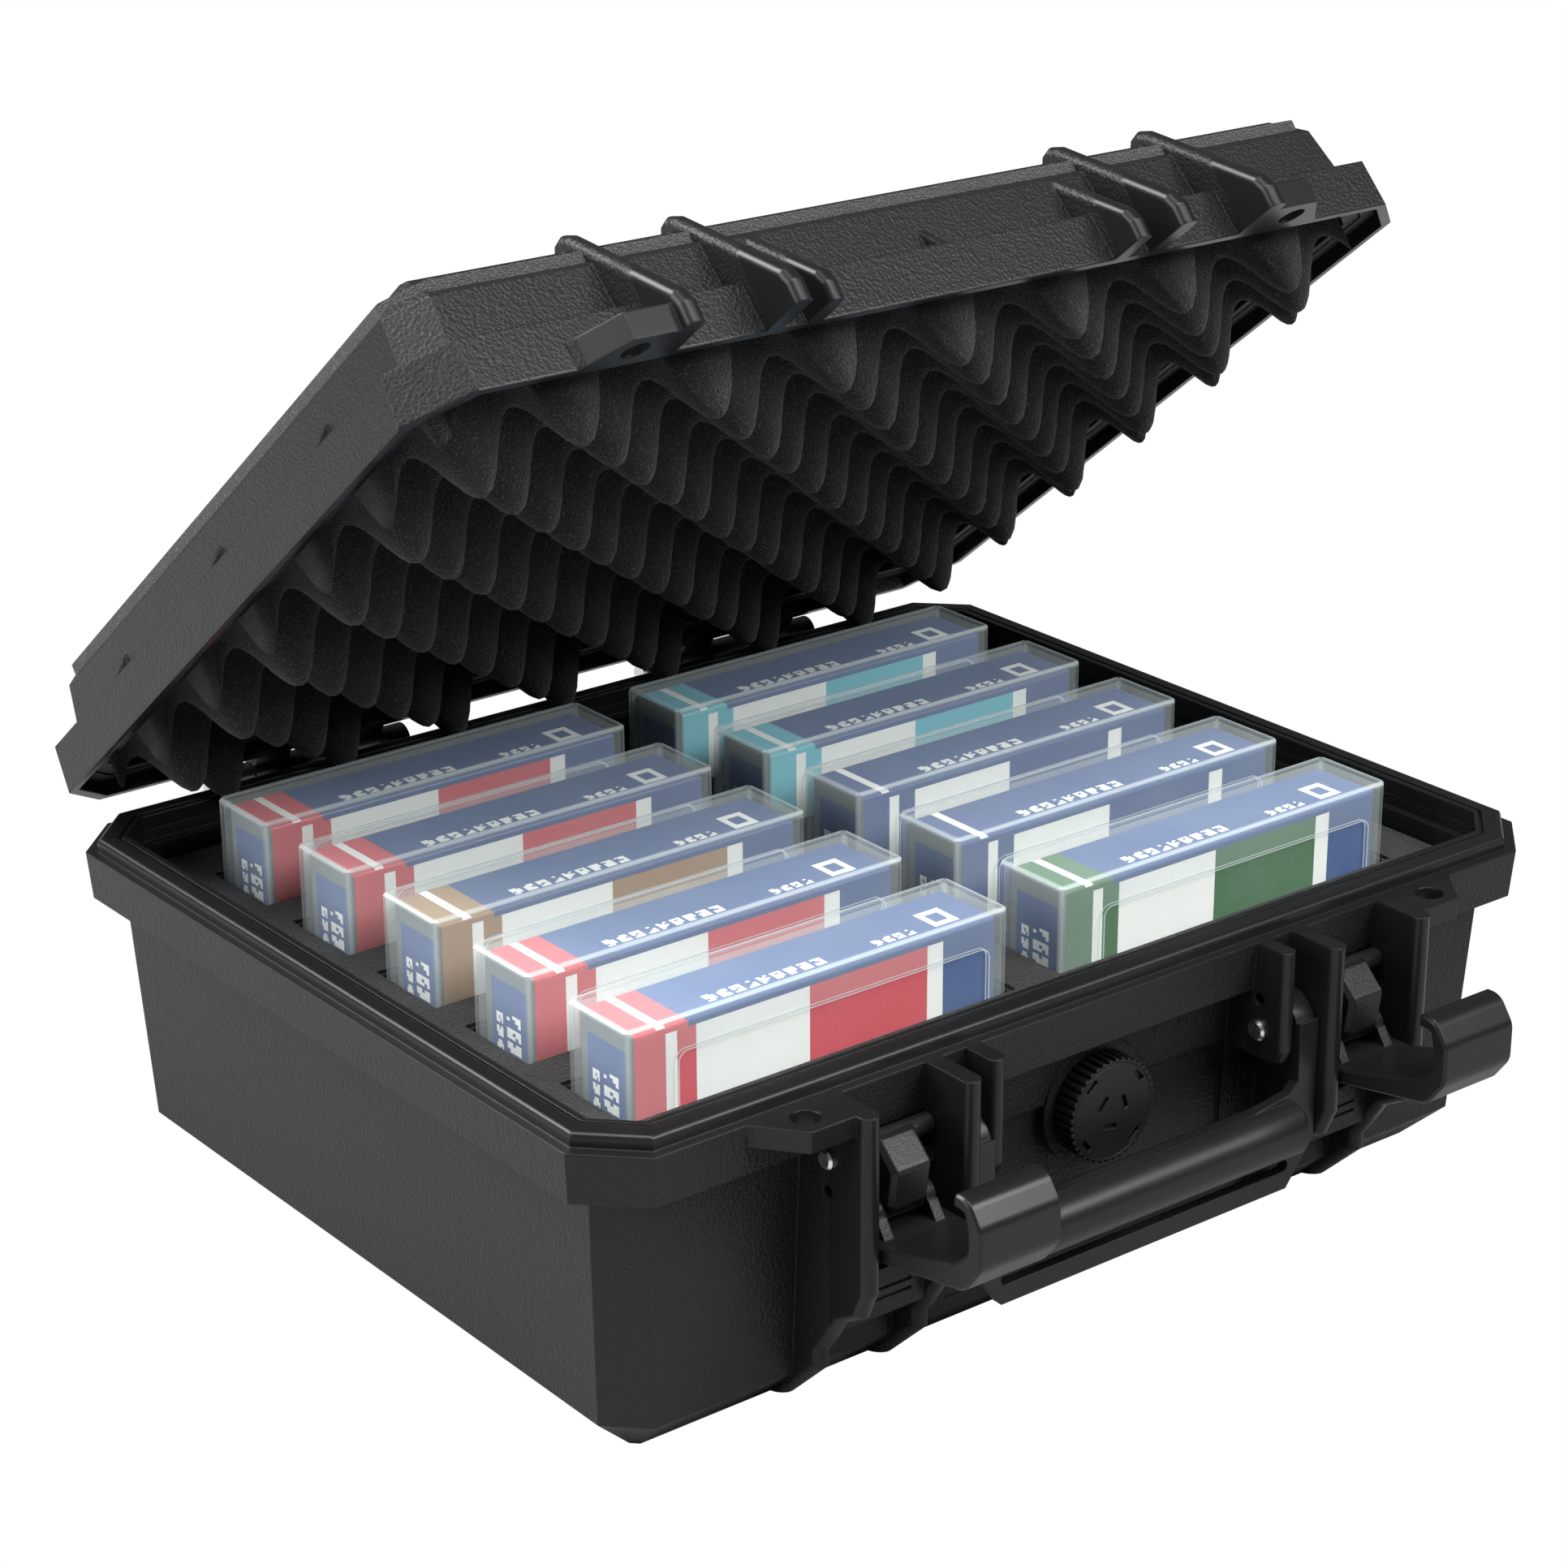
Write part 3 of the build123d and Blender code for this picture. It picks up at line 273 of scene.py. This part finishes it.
def labelMaterial(name, centreX, centreY, accent):
    look = Recipe(name)
    spot = look.add("ShaderNodeVectorMath", {0: look.place.outputs["Object"], 1: (centreX, centreY, 0)},
                    operation="SUBTRACT").outputs[0]
    axes = look.add("ShaderNodeSeparateXYZ", {0: spot})
    along = look.calc("ADD", look.calc("DIVIDE", axes.outputs[0], cartridge["length"]), 0.5)
    across = look.calc("DIVIDE", axes.outputs[1], cartridge["thickness"])
    facing = look.add("ShaderNodeSeparateXYZ", {0: look.place.outputs["Normal"]})
    onTop = look.calc("GREATER_THAN", facing.outputs[2], 0.6)
    onEnd = look.calc("GREATER_THAN", look.calc("ABSOLUTE", facing.outputs[0]), 0.6)

    def band(value, low, high):
        return look.calc("MULTIPLY", look.calc("GREATER_THAN", value, low), look.calc("LESS_THAN", value, high))

    def field(value, key):
        return band(value, *labelFields[key])

    side = look.mix(field(along, "sideWhite"), labelLook["blue"], labelLook["white"])
    side = look.mix(field(along, "sideAccent"), side, colours[accent])
    side = look.mix(field(along, "sideEnd"), side, colours[accent])
    side = look.mix(field(along, "sideStripe"), side, labelLook["white"])
    top = look.mix(field(along, "topEnd"), labelLook["blue"], colours[accent])
    top = look.mix(field(along, "topStripe"), top, labelLook["white"])

    # a row of blocky made-up signs, three by five squares each, with one square between them
    def signs(run, rise, start, end, low, high, count):
        shareX = look.calc("DIVIDE", look.calc("SUBTRACT", run, start), end - start)
        shareY = look.calc("DIVIDE", look.calc("SUBTRACT", rise, low), high - low)
        placeX = look.calc("MULTIPLY", shareX, count * 4.0)
        placeY = look.calc("MULTIPLY", shareY, 5.0)
        cell = look.add("ShaderNodeCombineXYZ", {0: look.calc("FLOOR", placeX), 1: look.calc("FLOOR", placeY)})
        dice = look.add("ShaderNodeTexWhiteNoise", {0: cell.outputs[0]}, noise_dimensions="2D").outputs[0]
        body = look.calc("GREATER_THAN", dice, 0.28)
        gap = look.calc("LESS_THAN", look.calc("MODULO", look.calc("FLOOR", placeX), 4.0), 2.5)
        inside = look.calc("MULTIPLY", band(run, start, end), band(rise, low, high))
        return look.calc("MULTIPLY", look.calc("MULTIPLY", body, gap), inside)

    marks = signs(along, across, 0.23, 0.56, -0.30, -0.12, 9)
    marks = look.calc("MAXIMUM", marks, signs(along, across, 0.69, 0.81, -0.30, -0.15, 4))
    badge = look.calc("MULTIPLY", field(along, "badge"), field(across, "badgeAcross"))
    hollow = look.calc("MULTIPLY", field(along, "hollow"), field(across, "hollowAcross"))
    marks = look.calc("MAXIMUM", marks, look.calc("SUBTRACT", badge, hollow))
    top = look.mix(marks, top, labelLook["white"])
    folded = look.mix(field(along, "foldEnd"), labelLook["blue"], colours[accent])
    side = look.mix(look.calc("GREATER_THAN", axes.outputs[2], cartridge["top"] - labelFields["fold"]), side, folded)
    panel = look.calc("MULTIPLY", field(across, "endPanel"), field(axes.outputs[2], "endPanelUp"))
    end = look.mix(panel, labelLook["dark"], labelLook["blue"])
    end = look.mix(signs(axes.outputs[2], across, 0.080, 0.096, -0.22, 0.06, 4), end, labelLook["white"])
    end = look.mix(signs(axes.outputs[2], across, 0.083, 0.095, 0.14, 0.27, 3), end, labelLook["white"])
    paint = look.mix(onTop, side, top)
    paint = look.mix(onEnd, paint, end)
    speck = look.noise(500.0, 3.0)
    tone = look.mix(look.calc("MULTIPLY", speck, 0.08), paint, (0.5, 0.5, 0.5, 1))
    rough = look.calc("ADD", look.calc("MULTIPLY", speck, 0.1), 0.35)
    return look.set(Base_Color=tone, Roughness=rough, Normal=look.bump(speck, 0.00002, 0.5, look.rounded(0.0008)))


# clear cases: frosted plastic, clearer in a window on each long side
caseLook = {"tint": (0.70, 0.79, 0.79, 1), "haze": 0.085, "window": 0.015, "edge": 0.30, "length": 0.1257,
            "thickness": 0.0265, "top": 0.1115, "rim": 0.0011, "windowShift": 0.0045, "windowHalf": 0.0515,
            "windowTop": 0.1015, "windowRound": 0.003, "windowLine": 0.00022}


def caseMaterial(name, centreX, centreY):
    look = Recipe(name)
    spot = look.add("ShaderNodeVectorMath", {0: look.place.outputs["Object"], 1: (centreX, centreY, 0)},
                    operation="SUBTRACT").outputs[0]
    axes = look.add("ShaderNodeSeparateXYZ", {0: spot})
    facing = look.add("ShaderNodeSeparateXYZ", {0: look.place.outputs["Normal"]})
    onSide = look.calc("GREATER_THAN", look.calc("ABSOLUTE", facing.outputs[1]), 0.8)

    # how far a point on the long side lies outside the window, whose corners are round
    curve = caseLook["windowRound"]
    runX = look.calc("ABSOLUTE", look.calc("SUBTRACT", axes.outputs[0], caseLook["windowShift"]))
    runX = look.calc("MAXIMUM", look.calc("SUBTRACT", runX, caseLook["windowHalf"] - curve), 0.0)
    runZ = look.calc("MAXIMUM", look.calc("SUBTRACT", axes.outputs[2], caseLook["windowTop"] - curve), 0.0)
    square = look.calc("ADD", look.calc("MULTIPLY", runX, runX), look.calc("MULTIPLY", runZ, runZ))
    reach = look.calc("SUBTRACT", look.calc("SQRT", square), curve)
    window = look.calc("MULTIPLY", look.calc("LESS_THAN", reach, 0.0), onSide)
    line = look.calc("MULTIPLY", look.calc("LESS_THAN", look.calc("ABSOLUTE", reach), caseLook["windowLine"]), onSide)

    def near(value, half):
        return look.ramp(value, half - 1.6 * caseLook["rim"], half - 0.5 * caseLook["rim"])

    edgeX = near(look.calc("ABSOLUTE", axes.outputs[0]), caseLook["length"] / 2)
    edgeY = near(look.calc("ABSOLUTE", axes.outputs[1]), caseLook["thickness"] / 2)
    edgeZ = near(axes.outputs[2], caseLook["top"])
    edges = look.calc("MAXIMUM", look.calc("MULTIPLY", edgeX, edgeY), look.calc("MULTIPLY", edgeY, edgeZ))
    edges = look.calc("MAXIMUM", edges, look.calc("MULTIPLY", edgeX, edgeZ))
    grazing = look.add("ShaderNodeLayerWeight", {"Blend": 0.25}).outputs["Facing"]
    haze = look.calc("MULTIPLY_ADD", window, caseLook["window"] - caseLook["haze"], caseLook["haze"])
    haze = look.calc("MULTIPLY_ADD", edges, caseLook["edge"], haze)
    haze = look.calc("MULTIPLY_ADD", line, 0.45, haze)
    cover = look.calc("MULTIPLY_ADD", look.calc("POWER", grazing, 6.0), 0.5, haze)
    cover = look.calc("MAXIMUM", look.calc("MINIMUM", cover, 1.0), 0.0)
    patch = look.calc("MULTIPLY", look.noise(40.0, 3.0), 0.05)
    alpha = look.calc("ADD", cover, patch, clamp=True)
    rough = look.calc("ADD", look.calc("MULTIPLY", look.noise(70.0, 2.0), 0.1), 0.16)
    relief = look.bump(look.noise(90.0, 2.0), 0.00015, 0.3)
    return look.set(Base_Color=caseLook["tint"], Roughness=rough, Alpha=alpha, IOR=1.45, Normal=relief)


# a round-edged sleeve round the cartridge, up to just under the top of its clear case
def buildSleeve(tag, x, y, material):
    form = bmesh.new()
    bmesh.ops.create_cube(form, size=1.0)
    tall = cartridge["top"] - cartridge["low"]
    for vert in form.verts:
        vert.co = Vector((x + vert.co.x * cartridge["length"], y + vert.co.y * cartridge["thickness"],
                          cartridge["low"] + (vert.co.z + 0.5) * tall))
    bmesh.ops.bevel(form, geom=list(form.edges), offset=cartridge["round"], segments=3, affect="EDGES", profile=0.5)
    mesh = bpy.data.meshes.new("labelSleeve" + tag)
    form.to_mesh(mesh)
    form.free()
    mesh.materials.append(material)
    sleeve = bpy.data.objects.new("labelSleeve" + tag, mesh)
    bpy.context.collection.objects.link(sleeve)
    return sleeve


for side, column in (("left", -1), ("right", 1)):
    for row in range(5):
        x = column * columnPitch / 2
        y = (row - 2) * rowPitch
        tag = f"{side}{row + 1}"
        label = labelMaterial("cartridgeLabel" + tag, x, y, accents[side][row])
        dress(f"cartridge_{side}_{row + 1}", label)
        sleeve = buildSleeve(tag, x, y, label)
        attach(sleeve, f"cased_{side}_{row + 1}")
        dress(f"clear_case_{side}_{row + 1}", caseMaterial("frostedCase" + tag, x, y))
print("cases and cartridges dressed")


# egg-crate foam in the lid
lidFoam = {"halfX": 0.1556, "halfY": 0.1227, "corner": 0.0094, "back": 0.1321, "valley": 0.1190, "tip": 0.0830,
           "pitch": 0.0400, "step": 0.0018, "sharp": 0.95}


# how far a point lies past the cut corners of the sheet's outline
def pastCorner(x, y):
    return abs(x) + abs(y) - (lidFoam["halfX"] + lidFoam["halfY"] - lidFoam["corner"])


def foamDepth(x, y):
    wave = cos(2 * pi * x / lidFoam["pitch"]) * cos(2 * pi * y / lidFoam["pitch"])
    shape = ((wave + 1) / 2) ** lidFoam["sharp"]
    ripple = noise.noise(Vector((x * 30, y * 30, 0))) * 0.0012
    return lidFoam["valley"] + (lidFoam["tip"] - lidFoam["valley"]) * shape + ripple


def buildLidFoam():
    mesh = bpy.data.meshes.new("lidFoamSheet")
    form = bmesh.new()
    countX = round(2 * lidFoam["halfX"] / lidFoam["step"])
    countY = round(2 * lidFoam["halfY"] / lidFoam["step"])
    grid = {}
    for i in range(countX + 1):
        for j in range(countY + 1):
            x = -lidFoam["halfX"] + 2 * lidFoam["halfX"] * i / countX
            y = -lidFoam["halfY"] + 2 * lidFoam["halfY"] * j / countY
            over = pastCorner(x, y)
            if over > 0:
                x -= over / 2 * (1 if x > 0 else -1)
                y -= over / 2 * (1 if y > 0 else -1)
            grid[i, j] = form.verts.new((x, y, foamDepth(x, y)))
    for i in range(countX):
        for j in range(countY):
            form.faces.new((grid[i, j], grid[i, j + 1], grid[i + 1, j + 1], grid[i + 1, j]))
    edge = [e for e in form.edges if e.is_boundary]
    sides = bmesh.ops.extrude_edge_only(form, edges=edge)["geom"]
    rim = [v for v in sides if isinstance(v, bmesh.types.BMVert)]
    for vert in rim:
        vert.co.z = lidFoam["back"]
    bmesh.ops.contextual_create(form, geom=[e for e in form.edges if e.is_boundary])
    bmesh.ops.remove_doubles(form, verts=form.verts, dist=1e-5)
    bmesh.ops.recalc_face_normals(form, faces=form.faces)
    form.transform(lidTurn)
    form.to_mesh(mesh)
    form.free()
    for face in mesh.polygons:
        face.use_smooth = True
    mesh.materials.append(lidFoamMaterial)
    sheet = bpy.data.objects.new("lidFoamSheet", mesh)
    bpy.context.collection.objects.link(sheet)
    return sheet


lidFoamSheet = buildLidFoam()
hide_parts("lid_foam")
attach(lidFoamSheet, "lid")
print("lid foam built")


# foam block in the base, its cut edges softened
baseFoam = {"edge": 0.0011}


def buildBaseFoam():
    mesh = nodes["base_foam"].data.copy()
    mesh.name = "baseFoamBlock"
    mesh.materials.clear()
    mesh.materials.append(baseFoamMaterial)
    form = bmesh.new()
    form.from_mesh(mesh)
    bmesh.ops.remove_doubles(form, verts=form.verts, dist=1e-6)
    bmesh.ops.dissolve_limit(form, angle_limit=radians(2), verts=form.verts, edges=form.edges)
    sharp = [e for e in form.edges if e.is_manifold and e.calc_face_angle() > radians(25)
             and min(v.co.z for v in e.verts) > 0.02]
    bmesh.ops.bevel(form, geom=sharp, offset=baseFoam["edge"], segments=2, affect="EDGES", clamp_overlap=True)
    form.to_mesh(mesh)
    form.free()
    block = bpy.data.objects.new("baseFoamBlock", mesh)
    bpy.context.collection.objects.link(block)
    return block


baseFoamBlock = buildBaseFoam()
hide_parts("base_foam")
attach(baseFoamBlock, "base")
print("base foam built")


# floor, light and camera
stageLook = {"floor": (0.38, 0.38, 0.38, 1), "backdrop": 1.0, "halfSize": 6.0, "ambient": 0.10}


def buildFloor():
    mesh = bpy.data.meshes.new("floor")
    size = stageLook["halfSize"]
    mesh.from_pydata([(-size, -size, 0), (size, -size, 0), (size, size, 0), (-size, size, 0)], [], [(0, 1, 2, 3)])
    look = Recipe("floorPaper")
    look.set(Base_Color=stageLook["floor"], Roughness=0.9, Specular_IOR_Level=0.1)
    seen = look.add("ShaderNodeLightPath")
    white = look.add("ShaderNodeEmission", {"Color": (1, 1, 1, 1), "Strength": stageLook["backdrop"]})
    blend = look.add("ShaderNodeMixShader", {0: seen.outputs["Is Camera Ray"], 1: look.bsdf.outputs[0],
                                             2: white.outputs[0]})
    look.tree.links.new(blend.outputs[0], look.output.inputs[0])
    mesh.materials.append(look.material)
    floor = bpy.data.objects.new("floor", mesh)
    bpy.context.collection.objects.link(floor)


buildFloor()


def softbox(name, place, target, width, height, power):
    light = bpy.data.lights.new(name, "AREA")
    light.shape = "RECTANGLE"
    light.size, light.size_y, light.energy = width, height, power
    lamp = bpy.data.objects.new(name, light)
    lamp.location = place
    lamp.rotation_euler = (Vector(target) - Vector(place)).to_track_quat("-Z", "Y").to_euler()
    bpy.context.collection.objects.link(lamp)


# place, target, width, height and power of each lamp
studioLights = {"keyTop": ((-0.3, -0.5, 1.7), (0, 0, 0.1), 1.3, 0.9, 42),
                "leftWall": ((-1.7, 0.4, 0.7), (0, 0, 0.1), 1.2, 1.2, 30),
                "frontFill": ((0.75, -1.5, 1.4), (0, 0, 0.1), 1.1, 0.8, 44),
                "backTop": ((-1.0, 1.2, 1.4), (0, 0, 0.15), 1.0, 0.8, 48)}
for lampName, setting in studioLights.items():
    softbox(lampName, *setting)

world = bpy.data.worlds.new("studio")
bpy.context.scene.world = world
world.use_nodes = True
world.node_tree.nodes["Background"].inputs[0].default_value = (1, 1, 1, 1)
world.node_tree.nodes["Background"].inputs[1].default_value = stageLook["ambient"]

cameraLook = {"azimuth": -37.90, "elevation": 21.76, "roll": -0.297, "lens": 86.39,
              "place": (-0.6215, -0.7891, 0.5140)}


def aimCamera():
    azimuth, elevation, roll = (radians(cameraLook[key]) for key in ("azimuth", "elevation", "roll"))
    backward = Vector((sin(azimuth) * cos(elevation), -cos(azimuth) * cos(elevation), sin(elevation)))
    right = (-backward).cross(Vector((0, 0, 1))).normalized()
    up = right.cross(-backward)
    turnedRight = cos(roll) * right + sin(roll) * up
    turnedUp = cos(roll) * up - sin(roll) * right
    camera = bpy.data.objects.new("photoCamera", bpy.data.cameras.new("photoCamera"))
    camera.data.lens = cameraLook["lens"]
    camera.data.sensor_width = 36.0
    camera.data.sensor_fit = "HORIZONTAL"
    turn = Matrix((turnedRight, turnedUp, backward)).transposed()
    camera.matrix_world = Matrix.Translation(cameraLook["place"]) @ turn.to_4x4()
    bpy.context.collection.objects.link(camera)
    bpy.context.scene.camera = camera


aimCamera()
bpy.context.scene.view_settings.view_transform = "Standard"
print("stage set")
